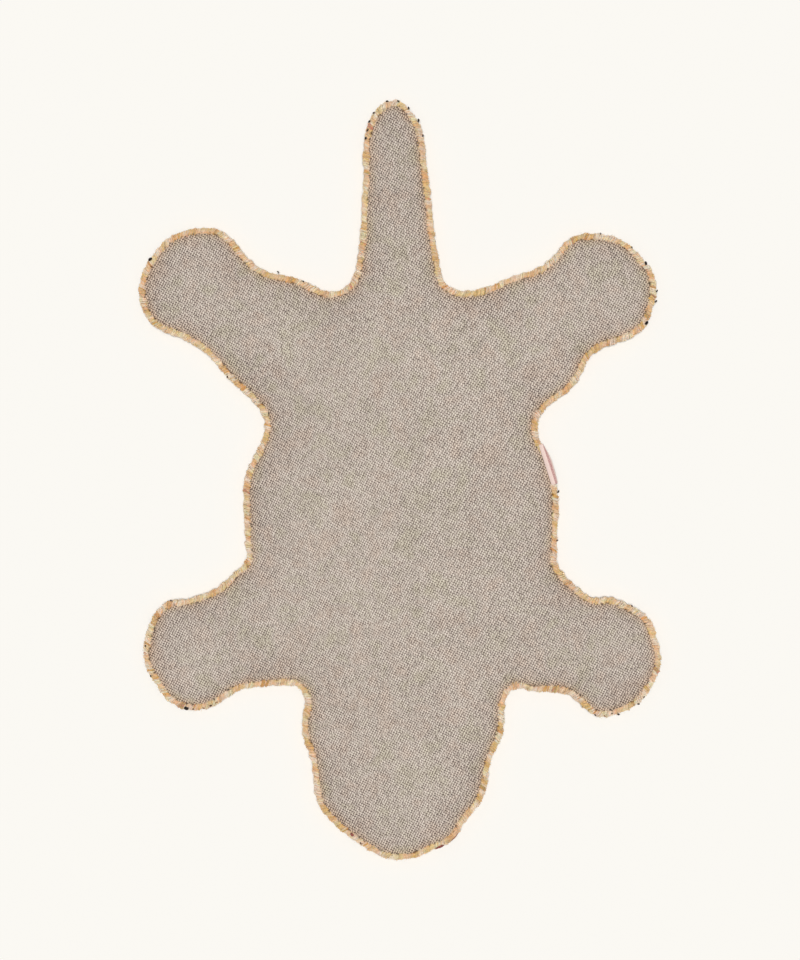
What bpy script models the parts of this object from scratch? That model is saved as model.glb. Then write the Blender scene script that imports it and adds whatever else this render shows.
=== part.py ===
"""Animal hide shaped rug for a child's room, lying pile side down.

The object is a flat rug cut like a stretched hide: a tail, a head and four legs around
a broad body. It lies on the floor with its wool pile below and its woven backing above.
Metres, +Z up, +Y towards the tail, origin at the middle of the box's bottom.
"""
import math
import random

import bmesh
import bpy
import numpy as np

MM = 0.001

# Outline. Each limb is measured along its own axis from a start point in the body:
# tip is the limb's length, and a row holds (along, reach to its left, reach to its right),
# all in mm. None means that this side has already run into the body. Limbs are named left
# and right as they are seen from above, tail up.
TAIL = dict(start=(0, 206), heading_deg=91.5, tip=231, rows=(
    (18, 61.5, 55), (28, 53, 50), (45, 48.5, 47.5), (75, 43.5, 43), (110, 41.5, 40.5),
    (150, 38, 36.5), (180, 37.5, 34), (202, 32, 29.5), (216, 25, 20.5), (226, 14.5, 12.5)))
LEFT_HIND_LEG = dict(start=(-80, 137), heading_deg=148, tip=237, rows=(
    (48, 88, 65.5), (70, 83.5, 63), (95, 78, 56.5), (120, 70.5, 49), (143, 68.5, 51.5),
    (165, 71, 58.5), (185, 74.5, 61), (203, 71, 54), (219, 60, 41), (231, 45, 24.5)))
LEFT_FORE_LEG = dict(start=(-80, -184), heading_deg=185, tip=215.5, rows=(
    (66, 47.5, None), (84, 47.5, None), (102, 48, 89), (120, 54.5, 74.5), (138, 64, 67),
    (156, 67.5, 64.5), (174, 64.5, 63), (190, 55, 56.5), (204, 33.5, 39), (213, 14, 14)))
HEAD = dict(start=(1, -230), heading_deg=-91, tip=207, rows=(
    (26, 122, 110), (45, 121, 112), (68, 116, 110.5), (94, 106, 101.5), (120, 102, 98),
    (143, 92.5, 93), (163, 77, 78), (181, 66, 57), (195, 41, 35.5), (204, 21.5, 17.5)))
RIGHT_FORE_LEG = dict(start=(80, -184), heading_deg=-5, tip=222, rows=(
    (66, None, 53.5), (84, None, 53), (102, 86.5, 52), (120, 71.5, 56), (138, 62, 67.5),
    (156, 64, 75.5), (174, 59.5, 72), (190, 53, 64), (204, 43.5, 52), (215, 21.5, 33.5)))
RIGHT_HIND_LEG = dict(start=(80, 137), heading_deg=31, tip=231.5, rows=(
    (48, 66.5, 93.5), (70, 61, 91), (95, 58, 85), (120, 51.5, 69.5), (143, 53.5, 68),
    (163, 60, 72.5), (181, 60.5, 74), (197, 52.5, 70), (211, 42.5, 58.5), (223, 28, 47)))

# Flanks between the legs: (place along Y, reach from the middle line), in mm.
LEFT_FLANK = ((70, 156.5), (48, 158), (24, 169.5), (0, 178.5), (-24, 179.5), (-48, 178.5),
              (-72, 178), (-92, 180))
RIGHT_FLANK = ((-92, 184), (-72, 182), (-48, 183), (-24, 183), (0, 181), (24, 174.5),
               (48, 161), (70, 161))

RIM_STEPS = 300            # points around the rim, about 10 mm apart
CURVE_STEPS = 12           # points on the curve between two stations
GAP = 0.3                  # mm between two pieces

# Heights above the floor, in mm.
PILE_TOP = 10.5            # face yarn with the cloth that it is tufted into
PILE_STEP_TOP = 8.3        # lower top of the pile under the binding
PILE_SHOULDER = 5.5        # where the side of the pile starts to round in
PILE_BELLY = 2.5           # where the side of the pile starts to round in to the floor
BACKING_LOW = PILE_TOP + GAP
BACKING_THICK = 1.8
BACKING_TOP = BACKING_LOW + BACKING_THICK
BINDING_CROWN = 14.7
LABEL_PINCH_DROP = 0.8     # how far the crown sinks for each mm that the label presses it in

# Distances in from the rim, in mm.
PILE_FOOT_INSET = 1.6      # pile's edge where it stands on the floor
PILE_SIDE_INSET = 0.3      # pile's edge halfway up, where it bulges most
PILE_TOP_INSET = 1.2       # pile's edge at its upper side
PILE_STEP_INSET = 7.9      # step that makes room for the binding's lower lip
BACKING_INSET = 4.9
BINDING_WALL_INSET = 4.6   # binding's inner wall, beside the backing's edge
BINDING_LIP_INSET = 7.5    # binding's lower lip, under the backing
BINDING_LIP_BEVEL = 0.4
BINDING_FOOT_INSET = 2.0   # outer end of the binding's underside
BINDING_WIDTH = 8.9        # part of the binding that shows on the backing
BINDING_WIDTH_SWING = 0.8  # the overcast edge is wider here and narrower there
BINDING_SWING_PITCH = 46.0
RIM_SWING = 0.35           # unevenness of the binding's outer edge
RIM_SWING_PITCH = 23.0
# The binding's upper side, from its outer edge over the crown inwards. A point lies at
# width * share + inset from the rim, at crown * share + height, and moves by its two pinch
# shares where the label presses the binding in.
BINDING_UPPER_SIDE = (
    # width share, inset, crown share, height, pinch inwards, pinch upwards
    (0, 0.5, 0, 9.7, 1.0, 0.0),
    (0, 0.0, 0, 11.4, 1.0, 0.0),
    (0, 0.8, 1, -1.2, 1.0, 0.0),
    (0, 2.9, 1, 0.0, 0.6, 0.0),
    (1, -3.2, 1, -0.1, 0.0, 0.0),
    (1, -0.4, 1, -1.0, 0.0, 0.4))
BINDING_OUTER_POINTS = 4   # the first points of that table, which follow the uneven rim

# Pile that sticks out from under the binding: (name, X, Y, radius, reach past the rim), in mm.
PEEPING_PILE = (
    ("tail tip", 0, 434, 45, 1.6),
    ("left hind paw", -292, 235, 45, 1.2),
    ("left fore paw", -262, -255, 60, 1.6),
    ("right fore paw", 262, -262, 60, 1.8),
    ("right hind paw", 292, 215, 55, 1.6),
    ("right flank", 183, -40, 45, 1.2),
    ("muzzle", 45, -425, 50, 1.2),
)
PILE_LUMP = 0.9            # lumps of the pile's rim
PILE_LUMP_PITCH = 13.0
PILE_FOOT_LUMP_SHARE = 0.5
PILE_SHOULDER_LUMP_SHARE = 0.8

LABEL_MIDDLE = (172, 16)   # the label's place on the right flank, X and Y
LABEL_LENGTH = 48.0
LABEL_THICK = 0.8
LABEL_STEPS = 8
LABEL_PINCH = 1.2          # how far the label presses the binding in
LABEL_EASE = 8.0           # length over which the binding comes back out
LABEL_CLEARANCE = GAP + 0.1
LABEL_HEM_INSET = 0.3      # its inner edge lies this far past the binding
LABEL_HEM_RISE = 0.6       # and this far above the backing


def clear_scene():
    for obj in list(bpy.data.objects):
        bpy.data.objects.remove(obj, do_unlink=True)


def limb_stations(limb):
    """Points out along the limb's right side, its tip, and back along its left side."""
    heading = math.radians(limb["heading_deg"])
    ahead = np.array((math.cos(heading), math.sin(heading)))
    left = np.array((-ahead[1], ahead[0]))
    start = np.array(limb["start"], dtype=float)
    points = [start + ahead * along - left * right
              for along, _, right in limb["rows"] if right is not None]
    points.append(start + ahead * limb["tip"])
    points += [start + ahead * along + left * reach
               for along, reach, _ in reversed(limb["rows"]) if reach is not None]
    return points


def flank_stations(rows, side):
    return [np.array((side * reach, place)) for place, reach in rows]


def outline_stations():
    """All the stations, counterclockwise from the tail's right side."""
    points = limb_stations(TAIL) + limb_stations(LEFT_HIND_LEG)
    points += flank_stations(LEFT_FLANK, -1)
    points += limb_stations(LEFT_FORE_LEG) + limb_stations(HEAD)
    points += limb_stations(RIGHT_FORE_LEG)
    points += flank_stations(RIGHT_FLANK, 1)
    points += limb_stations(RIGHT_HIND_LEG)
    return np.array(points)


def closed_curve(points, steps):
    """Closed cubic spline through the points, with knots spaced as the points are."""
    count = len(points)
    spans = np.linalg.norm(np.roll(points, -1, axis=0) - points, axis=1)
    matrix = np.zeros((count, count))
    right_side = np.zeros((count, 2))
    for i in range(count):
        nxt = (i + 1) % count
        before, after = spans[i - 1], spans[i]
        matrix[i, i - 1] = before
        matrix[i, i] = 2 * (before + after)
        matrix[i, nxt] = after
        right_side[i] = 6 * ((points[nxt] - points[i]) / after
                             - (points[i] - points[i - 1]) / before)
    bend = np.linalg.solve(matrix, right_side)
    curve = []
    for i in range(count):
        nxt = (i + 1) % count
        for step in range(steps):
            b = step / steps
            a = 1 - b
            curve.append(a * points[i] + b * points[nxt]
                         + ((a ** 3 - a) * bend[i] + (b ** 3 - b) * bend[nxt])
                         * spans[i] ** 2 / 6)
    return np.array(curve)


def spaced(curve, count):
    """The closed curve again, as count evenly spaced points, and its length."""
    ring = np.vstack([curve, curve[:1]])
    travelled = np.concatenate(([0], np.cumsum(np.linalg.norm(np.diff(ring, axis=0), axis=1))))
    places = np.linspace(0, travelled[-1], count, endpoint=False)
    points = np.column_stack([np.interp(places, travelled, ring[:, k]) for k in (0, 1)])
    return points, travelled[-1]


def inward(points):
    """Unit normals that point into a counterclockwise outline."""
    along = np.roll(points, -1, axis=0) - np.roll(points, 1, axis=0)
    along /= np.linalg.norm(along, axis=1)[:, None]
    return np.column_stack([-along[:, 1], along[:, 0]])


def unevenness(length, pitch, swing, seed):
    """A smooth closed wave of seeded random heights, one value for each rim point."""
    dice = random.Random(seed)
    knots = max(4, round(length / pitch))
    heights = [dice.uniform(-swing, swing) for _ in range(knots)]
    wave = []
    for i in range(RIM_STEPS):
        place = i * knots / RIM_STEPS
        low = int(place)
        ease = (1 - math.cos(math.pi * (place - low))) / 2
        wave.append(heights[low % knots] * (1 - ease) + heights[(low + 1) % knots] * ease)
    return np.array(wave)


def rings_mesh(name, rings, closed_section):
    """Joins rings of rim points to one closed body.

    With closed_section the last ring joins the first; else flat caps close both ends.
    """
    bm = bmesh.new()
    loops = [[bm.verts.new((x * MM, y * MM, z * MM)) for x, y, z in ring] for ring in rings]
    pairs = list(zip(loops, loops[1:]))
    if closed_section:
        pairs.append((loops[-1], loops[0]))
    for low, high in pairs:
        for i in range(len(low)):
            nxt = (i + 1) % len(low)
            bm.faces.new((low[i], low[nxt], high[nxt], high[i]))
    if not closed_section:
        bm.faces.new(list(reversed(loops[0])))
        bm.faces.new(loops[-1])
    bmesh.ops.recalc_face_normals(bm, faces=bm.faces)
    mesh = bpy.data.meshes.new(name)
    bm.to_mesh(mesh)
    bm.free()
    obj = bpy.data.objects.new(name, mesh)
    bpy.context.scene.collection.objects.link(obj)
    return obj


def ring_at(rim, normals, inset, height):
    """Rim points moved in by inset (one number or one for each point), at one height each."""
    flat = rim + normals * np.reshape(inset, (-1, 1))
    return np.column_stack([flat, np.broadcast_to(height, len(rim))])


def near_label(rim, length):
    """1 for each rim point along the label and one step past it, easing to 0 further off."""
    middle = int(np.argmin(np.linalg.norm(rim - np.array(LABEL_MIDDLE), axis=1)))
    steps = np.arange(len(rim)) - middle
    steps = (steps + len(rim) // 2) % len(rim) - len(rim) // 2
    away = (np.abs(steps) - 1) * length / len(rim) - LABEL_LENGTH / 2
    return np.clip(1 - away / LABEL_EASE, 0, 1)


def binding_section(width, pinch):
    """The overcast edge cut across: (distance in from the rim, height) around it.

    It grips the backing's edge with a long arm above and a short lip below.
    """
    upper = binding_upper_side(width, pinch)
    return upper + [
        (width, BACKING_TOP + GAP),
        (BINDING_WALL_INSET, BACKING_TOP + GAP),
        (BINDING_WALL_INSET, PILE_TOP),
        (BINDING_LIP_INSET, PILE_TOP),
        (BINDING_LIP_INSET - BINDING_LIP_BEVEL, PILE_STEP_TOP + GAP),
        (BINDING_FOOT_INSET, PILE_STEP_TOP + GAP),
    ]


def binding_upper_side(width, pinch):
    """The part of the section that shows: from the outer edge over the crown inwards."""
    crown = BINDING_CROWN - pinch * LABEL_PINCH_DROP
    return [(width * width_share + inset + pinch * inwards,
             crown * crown_share + height + pinch * upwards)
            for width_share, inset, crown_share, height, inwards, upwards in BINDING_UPPER_SIDE]


def make_pile(rim, normals, length):
    """Wool pile on its foundation: a slab with a flat underside and a lumpy rim."""
    reach = unevenness(length, PILE_LUMP_PITCH, PILE_LUMP, seed=11)
    for _, x, y, radius, past_rim in PEEPING_PILE:
        away = np.linalg.norm(rim - np.array((x, y)), axis=1) / radius
        reach += np.clip(1 - away, 0, 1) ** 0.5 * past_rim
    rings = [
        ring_at(rim, normals, PILE_FOOT_INSET - PILE_FOOT_LUMP_SHARE * reach, 0.0),
        ring_at(rim, normals, PILE_SIDE_INSET - reach, PILE_BELLY),
        ring_at(rim, normals, PILE_SIDE_INSET - PILE_SHOULDER_LUMP_SHARE * reach, PILE_SHOULDER),
        ring_at(rim, normals, PILE_TOP_INSET, PILE_STEP_TOP),
        ring_at(rim, normals, PILE_STEP_INSET, PILE_STEP_TOP),
        ring_at(rim, normals, PILE_STEP_INSET, PILE_TOP),
    ]
    return rings_mesh("pile", rings, closed_section=False)


def make_backing(rim, normals):
    """Woven cotton backing: one flat sheet, its edge inside the binding."""
    rings = [ring_at(rim, normals, BACKING_INSET, height)
             for height in (BACKING_LOW, BACKING_TOP)]
    return rings_mesh("backing", rings, closed_section=False)


def make_binding(rim, normals, length):
    """Overcast wool edge: one closed ring around the whole rim."""
    pinch = LABEL_PINCH * near_label(rim, length)
    widths = BINDING_WIDTH + unevenness(length, BINDING_SWING_PITCH, BINDING_WIDTH_SWING, seed=5)
    swing = unevenness(length, RIM_SWING_PITCH, RIM_SWING, seed=8) * (1 - near_label(rim, length))
    sections = [binding_section(width, press) for width, press in zip(widths, pinch)]
    rings = []
    for k in range(len(sections[0])):
        insets = np.array([section[k][0] for section in sections])
        heights = np.array([section[k][1] for section in sections])
        if k < BINDING_OUTER_POINTS:
            insets = insets - swing
        rings.append(ring_at(rim, normals, insets, heights))
    return rings_mesh("edge_binding", rings, closed_section=True)


def moved_out(section, distance):
    """An open line of (inset, height) points moved outwards from the binding."""
    points = np.array(section)
    along = np.gradient(points, axis=0)
    along /= np.linalg.norm(along, axis=1)[:, None]
    return points + np.column_stack([-along[:, 1], along[:, 0]]) * distance


def make_label(curve):
    """Small woven tape folded over the binding on the right flank."""
    fine, length = spaced(curve, 4 * RIM_STEPS)
    normals = inward(fine)
    middle = int(np.argmin(np.linalg.norm(fine - np.array(LABEL_MIDDLE), axis=1)))
    half = LABEL_LENGTH / 2 * len(fine) / length
    places = np.linspace(middle - half, middle + half, LABEL_STEPS + 1)
    widest = BINDING_WIDTH + BINDING_WIDTH_SWING
    line = binding_upper_side(widest, LABEL_PINCH)[1:]
    line.append((widest + LABEL_HEM_INSET, BACKING_TOP + LABEL_HEM_RISE))
    under = moved_out(line, LABEL_CLEARANCE)
    over = moved_out(line, LABEL_CLEARANCE + LABEL_THICK)
    section = np.vstack([under, over[::-1]])
    bm = bmesh.new()
    rings = []
    for place in places:
        at = int(round(place)) % len(fine)
        flat = [fine[at] + normals[at] * inset for inset, _ in section]
        rings.append([bm.verts.new((p[0] * MM, p[1] * MM, row[1] * MM))
                      for p, row in zip(flat, section)])
    for low, high in zip(rings, rings[1:]):
        for i in range(len(low)):
            nxt = (i + 1) % len(low)
            bm.faces.new((low[i], low[nxt], high[nxt], high[i]))
    for ring in (rings[0], rings[-1]):
        last = len(ring) - 1
        for i in range(last // 2):
            bm.faces.new((ring[i], ring[i + 1], ring[last - i - 1], ring[last - i]))
    bmesh.ops.recalc_face_normals(bm, faces=bm.faces)
    mesh = bpy.data.meshes.new("label")
    bm.to_mesh(mesh)
    bm.free()
    obj = bpy.data.objects.new("label", mesh)
    bpy.context.scene.collection.objects.link(obj)
    return obj


def give_material(obj, name, colour, roughness, smooth):
    mat = bpy.data.materials.new(name)
    mat.use_nodes = True
    shader = mat.node_tree.nodes["Principled BSDF"]
    shader.inputs["Base Color"].default_value = (*colour, 1.0)
    shader.inputs["Roughness"].default_value = roughness
    shader.inputs["Metallic"].default_value = 0.0
    obj.data.materials.append(mat)
    for face in obj.data.polygons:
        face.use_smooth = smooth


def main():
    clear_scene()
    curve = closed_curve(outline_stations(), CURVE_STEPS)
    middle = (curve.min(axis=0) + curve.max(axis=0)) / 2
    rim, length = spaced(curve, RIM_STEPS)
    normals = inward(rim)
    pile = make_pile(rim, normals, length)
    backing = make_backing(rim, normals)
    binding = make_binding(rim, normals, length)
    label = make_label(curve)
    give_material(pile, "wool_pile", (0.55, 0.36, 0.17), 0.95, smooth=False)
    give_material(backing, "woven_backing", (0.47, 0.39, 0.33), 0.95, smooth=False)
    give_material(binding, "overcast_wool", (0.66, 0.42, 0.20), 0.9, smooth=True)
    give_material(label, "woven_label", (0.78, 0.62, 0.56), 0.8, smooth=False)
    for obj in (pile, backing, binding, label):
        for vertex in obj.data.vertices:
            vertex.co.x -= middle[0] * MM
            vertex.co.y -= middle[1] * MM


main()
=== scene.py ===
"""Looks of an animal hide shaped rug for a child's room, lying pile side down.

Metres, +Z up, +Y towards the tail. The camera looks straight down on the woven back.
"""
import math
import random

import bmesh
import bpy
import numpy as np
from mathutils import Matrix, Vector, geometry


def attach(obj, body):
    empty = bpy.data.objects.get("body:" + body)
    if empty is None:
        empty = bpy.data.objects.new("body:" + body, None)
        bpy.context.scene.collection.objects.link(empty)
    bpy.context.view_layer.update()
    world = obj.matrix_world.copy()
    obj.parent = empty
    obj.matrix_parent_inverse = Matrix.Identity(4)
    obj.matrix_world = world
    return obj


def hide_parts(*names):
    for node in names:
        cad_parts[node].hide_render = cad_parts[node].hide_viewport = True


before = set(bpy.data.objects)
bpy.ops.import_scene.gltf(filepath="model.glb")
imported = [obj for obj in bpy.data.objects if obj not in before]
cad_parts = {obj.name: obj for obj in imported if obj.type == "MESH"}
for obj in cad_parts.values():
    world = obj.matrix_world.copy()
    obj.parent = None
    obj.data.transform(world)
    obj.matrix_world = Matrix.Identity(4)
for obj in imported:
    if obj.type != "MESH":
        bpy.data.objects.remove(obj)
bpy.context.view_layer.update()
bpy.context.scene.view_settings.view_transform = "Standard"
MM = 0.001


# Backing. One sheet of plain woven cloth in cream and taupe jute and cotton threads, with painted shade
# between them.
# It is cut to the hide's outline and glued over the back of the tufting, so it lies
# almost flat, drawn down a little where the edge is overcast.
BACKING_TOP = 12.6 * MM
BACKING_THICK = 1.2 * MM
BACKING_EDGE_INSET = 4.9 * MM      # CAD backing's edge, in from the rim
CLOTH_INSET = 2.4 * MM             # this sheet runs on under the stitches
CLOTH_STEP = 5.0 * MM
CLOTH_WAVE = 0.35 * MM
CLOTH_WAVE_EASE = 30.0 * MM        # the cloth lies flatter than that towards the rim
DRAWN_DOWN = 1.0 * MM              # how far the stitches draw the cloth's edge down
DRAWN_DOWN_AT = 3.0 * MM
DRAWN_DOWN_REACH = 5.0 * MM
YARN_COVER = 8.9 * MM              # the overcast yarn hides this much of the cloth's edge
STAIN_AND_SHADE_REACH = 18.0 * MM            # the cloth is stained, and painted with shade, darker and yellower beside the yarn
STAIN_AND_SHADE_DEPTH = 0.92
# The cloth was cut askew. For the two ways of the weave: from one thread to the next, and the
# heading in which they are counted.
THREAD_PITCH = (2.69 * MM, 2.89 * MM)
THREAD_HEADING = (math.radians(-30), math.radians(-122))
# It is also drawn out of square: one way is drawn along by some threads at the rug's middle, and
# the other way runs in one slow wave from head to tail.
DRAWN_THREADS = 7.0
DRAWN_REACH = (140 * MM, 330 * MM)
WAVE_THREADS = 3.5
WAVE_LENGTH = 900 * MM
RIM_DRAWN_IN = 0.4 * MM            # the overcasting draws the rim in all the way around
# At some corners between the limbs, and under the label, the rim goes deeper, and at one paw it is
# fuller: X and Y of the place, how deep, and how far along the rim to each side, in mm.
CORNER_NIPS = ((130, -242, 6, 12), (-120, -238, 5, 14), (181, -94, 3, 12), (-177, -91, 3, 12),
               (196, -249, 2, 18), (-246, -136, 2, 12), (177, 15, 1.3, 14), (291, 238, -2, 10))


def top_edge(node):
    """The edge of a flat node's top face, as points in order, counterclockwise."""
    shape = bmesh.new()
    shape.from_mesh(node.data)
    bmesh.ops.remove_doubles(shape, verts=shape.verts, dist=1e-6)
    top = max(v.co.z for v in shape.verts)
    following = {}
    for face in shape.faces:
        if face.normal.z > 0.9 and face.calc_center_median().z > top - 1e-5:
            for loop in face.loops:
                other = loop.link_loop_radial_next.face
                if abs(other.normal.z) < 0.5:
                    following[loop.vert.index] = loop.link_loop_next.vert.index
    first = next(iter(following))
    order = [first]
    while following[order[-1]] != first:
        order.append(following[order[-1]])
    shape.verts.ensure_lookup_table()
    points = np.array([shape.verts[i].co[:2] for i in order])
    shape.free()
    return points


def smooth_loop(points, count):
    """The closed line through the points, rounded between them and evenly spaced."""
    before, after = np.roll(points, 1, axis=0), np.roll(points, -1, axis=0)
    beyond = np.roll(points, -2, axis=0)
    fine = []
    for t in np.linspace(0, 1, 8, endpoint=False):
        fine.append(0.5 * (2 * points + (after - before) * t
                           + (2 * before - 5 * points + 4 * after - beyond) * t ** 2
                           + (3 * points - before - 3 * after + beyond) * t ** 3))
    fine = np.stack(fine, axis=1).reshape(-1, 2)
    ring = np.vstack([fine, fine[:1]])
    travelled = np.concatenate(([0], np.cumsum(np.linalg.norm(np.diff(ring, axis=0), axis=1))))
    places = np.linspace(0, travelled[-1], count, endpoint=False)
    return np.column_stack([np.interp(places, travelled, ring[:, k]) for k in (0, 1)])


def moved_in(points, distance):
    """A counterclockwise loop moved towards its inside, or outwards if it is negative."""
    along = np.roll(points, -1, axis=0) - np.roll(points, 1, axis=0)
    along /= np.linalg.norm(along, axis=1)[:, None]
    return points + np.column_stack([-along[:, 1], along[:, 0]]) * distance


def flat_sheet(name, edge, step):
    """A flat mesh of even triangles inside a closed edge."""
    low, high = edge.min(axis=0), edge.max(axis=0)
    across = np.arange(low[0], high[0], step)
    up = np.arange(low[1], high[1], step * 0.866)
    grid = [(x + (row % 2) * step / 2, y) for row, y in enumerate(up) for x in across]
    grid = np.array(grid)
    inside = np.zeros(len(grid), dtype=bool)
    for (ax, ay), (bx, by) in zip(edge, np.roll(edge, -1, axis=0)):
        crosses = (ay > grid[:, 1]) != (by > grid[:, 1])
        if crosses.any():
            inside ^= crosses & (grid[:, 0] < (bx - ax) * (grid[:, 1] - ay) / (by - ay) + ax)
    away = np.full(len(grid), np.inf)
    for point in edge:
        away = np.minimum(away, np.linalg.norm(grid - point, axis=1))
    grid = grid[inside & (away > step * 0.6)]
    points = [Vector(p) for p in np.vstack([edge, grid])]
    ring = [(i, (i + 1) % len(edge)) for i in range(len(edge))]
    verts, _, faces, *_ = geometry.delaunay_2d_cdt(points, ring, [], 1, 1e-7)
    mesh = bpy.data.meshes.new(name)
    mesh.from_pydata([(v.x, v.y, 0.0) for v in verts], [], faces)
    obj = bpy.data.objects.new(name, mesh)
    bpy.context.scene.collection.objects.link(obj)
    return obj


def threads_from_middle(x, y):
    """How many threads lie between the rug's middle and a point, for the two ways of the weave."""
    straight = [(x * math.cos(heading) + y * math.sin(heading)) / pitch
                for heading, pitch in zip(THREAD_HEADING, THREAD_PITCH)]
    drawn = DRAWN_THREADS * math.exp(-(x / DRAWN_REACH[0]) ** 2 - (y / DRAWN_REACH[1]) ** 2)
    wave = WAVE_THREADS * math.cos(2 * math.pi * y / WAVE_LENGTH)
    return straight[0] + drawn, straight[1] - wave


def linear(hex_colour):
    """An sRGB hex colour as linear red, green, blue and 1."""
    parts = [int(hex_colour[i:i + 2], 16) / 255 for i in (1, 3, 5)]
    return tuple(p / 12.92 if p <= 0.04045 else ((p + 0.055) / 1.055) ** 2.4 for p in parts) + (1,)


def add(tree, kind, settings=None, inputs=None):
    """Adds a node with its settings. An input is a value, a socket, or a node's first output."""
    node = tree.nodes.new(kind)
    for name, value in (settings or {}).items():
        setattr(node, name, value)
    for place, value in (inputs or {}).items():
        if isinstance(value, bpy.types.Node):
            value = value.outputs[0]
        if isinstance(value, bpy.types.NodeSocket):
            tree.links.new(value, node.inputs[place])
        else:
            node.inputs[place].default_value = value
    return node


def new_material(name):
    """An empty material with its tree, its Principled shader and nothing else set."""
    material = bpy.data.materials.new(name)
    material.use_nodes = True
    return material, material.node_tree, material.node_tree.nodes["Principled BSDF"]


def set_ramp(node, stops):
    """Gives a Color Ramp its stops: (place, hex colour)."""
    ramp = node.color_ramp
    while len(ramp.elements) < len(stops):
        ramp.elements.new(0.5)
    for element, (place, colour) in zip(ramp.elements, stops):
        element.position = place
        element.color = linear(colour)


rim_points = 1560
backing_edge = smooth_loop(top_edge(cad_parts["backing"]), rim_points)
cut_edge = moved_in(backing_edge, -BACKING_EDGE_INSET)
nipped = np.full((rim_points, 1), RIM_DRAWN_IN)
for x, y, deep, reach in CORNER_NIPS:
    away = np.linalg.norm(cut_edge - np.array((x, y)) * MM, axis=1) / (reach * MM)
    nipped[:, 0] += deep * MM * np.exp(-away ** 2)
rim = moved_in(cut_edge, nipped)

backing = flat_sheet("backing_cloth", moved_in(rim, CLOTH_INSET)[::3], CLOTH_STEP)
weave = backing.data.uv_layers.new(name="weave")
rubbed = backing.data.attributes.new("rubbed", "FLOAT", "POINT")
for vertex in backing.data.vertices:
    x, y = vertex.co.x, vertex.co.y
    from_rim = np.linalg.norm(rim[::4] - (x, y), axis=1).min()
    past_yarn = max(0.0, from_rim - YARN_COVER)
    # A stain and painted shade beside the yarn, fading away from it.
    rubbed.data[vertex.index].value = STAIN_AND_SHADE_DEPTH * math.exp(-past_yarn / STAIN_AND_SHADE_REACH)
    wave = math.sin(21 * x + 9 * y) * math.sin(16 * y - 7 * x + 1.3) + 0.5 * math.sin(43 * x - 31 * y)
    drawn_down = DRAWN_DOWN * math.exp(-((from_rim - DRAWN_DOWN_AT) / DRAWN_DOWN_REACH) ** 2)
    vertex.co.z = BACKING_TOP + CLOTH_WAVE * wave * min(1, from_rim / CLOTH_WAVE_EASE) - drawn_down
for loop in backing.data.loops:
    x, y, _ = backing.data.vertices[loop.vertex_index].co
    weave.data[loop.index].uv = threads_from_middle(x, y)
thickness = backing.modifiers.new("thickness", "SOLIDIFY")
thickness.thickness = BACKING_THICK
thickness.offset = -1

# Plain woven jute and cotton canvas, unbleached. It gives a matt, slightly fibrous face of
# cream thread crowns with painted taupe shade between them, each thread a little lighter or darker.
# The crowns lean, because the threads cross askew, and beside the yarn they stand out more against deeper
# painted shade between them.
canvas, tree, shader = new_material("woven_canvas")
threads = add(tree, "ShaderNodeUVMap", {"uv_map": "weave"})
slub = add(tree, "ShaderNodeTexNoise", {"noise_dimensions": "2D"},
           {"Vector": threads, "Scale": 0.35, "Detail": 2.0})
slub_shift = add(tree, "ShaderNodeVectorMath", {"operation": "MULTIPLY_ADD"},
                 {0: slub.outputs["Color"], 1: (0.5, 0.5, 0.0), 2: threads})
cell = add(tree, "ShaderNodeVectorMath", {"operation": "FLOOR"}, {0: slub_shift})
knot = add(tree, "ShaderNodeTexWhiteNoise", {"noise_dimensions": "2D"}, {"Vector": cell})
loose = add(tree, "ShaderNodeVectorMath", {"operation": "MULTIPLY_ADD"},
            {0: knot.outputs["Color"], 1: (0.26, 0.26, 0.0), 2: (-0.13, -0.13, 0.0)})
in_cell = add(tree, "ShaderNodeVectorMath", {"operation": "FRACTION"}, {0: slub_shift})
off_centre = add(tree, "ShaderNodeVectorMath", {"operation": "ADD"}, {0: in_cell, 1: loose})
split = add(tree, "ShaderNodeSeparateXYZ", None, {0: off_centre})
in_u = add(tree, "ShaderNodeClamp", None, {0: split.outputs["X"]})
in_v = add(tree, "ShaderNodeClamp", None, {0: split.outputs["Y"]})
turn_u = add(tree, "ShaderNodeMath", {"operation": "MULTIPLY"}, {0: in_u, 1: 2 * math.pi})
turn_v = add(tree, "ShaderNodeMath", {"operation": "MULTIPLY"}, {0: in_v, 1: 2 * math.pi})
low_u = add(tree, "ShaderNodeMath", {"operation": "COSINE"}, {0: turn_u})
low_v = add(tree, "ShaderNodeMath", {"operation": "COSINE"}, {0: turn_v})
side_u = add(tree, "ShaderNodeMath", {"operation": "SINE"}, {0: turn_u})
side_v = add(tree, "ShaderNodeMath", {"operation": "SINE"}, {0: turn_v})
crown_lean = add(tree, "ShaderNodeMath", {"operation": "MULTIPLY"}, {0: side_u, 1: side_v})
ridge = add(tree, "ShaderNodeMath", {"operation": "MULTIPLY_ADD"}, {0: low_u, 1: -0.268, 2: 0.37})
knob = add(tree, "ShaderNodeMath", {"operation": "MULTIPLY_ADD"}, {0: low_v, 1: -0.222, 2: ridge})
crown = add(tree, "ShaderNodeMath", {"operation": "MULTIPLY_ADD"}, {0: crown_lean, 1: 0.454, 2: knob})
one_thread = add(tree, "ShaderNodeVectorMath", {"operation": "MULTIPLY"}, {0: cell, 1: (3.7, 0.12, 0)})
thread_tone = add(tree, "ShaderNodeTexNoise", {"noise_dimensions": "2D"},
                  {"Vector": one_thread, "Scale": 1.0, "Detail": 1.0})
place = add(tree, "ShaderNodeTexCoord")
fluff = add(tree, "ShaderNodeTexNoise", None,
            {"Vector": place.outputs["Object"], "Scale": 950.0, "Detail": 0.0})
light_knot = add(tree, "ShaderNodeMath", {"operation": "MULTIPLY_ADD"},
                 {0: knot.outputs["Value"], 1: 0.24, 2: crown})
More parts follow.
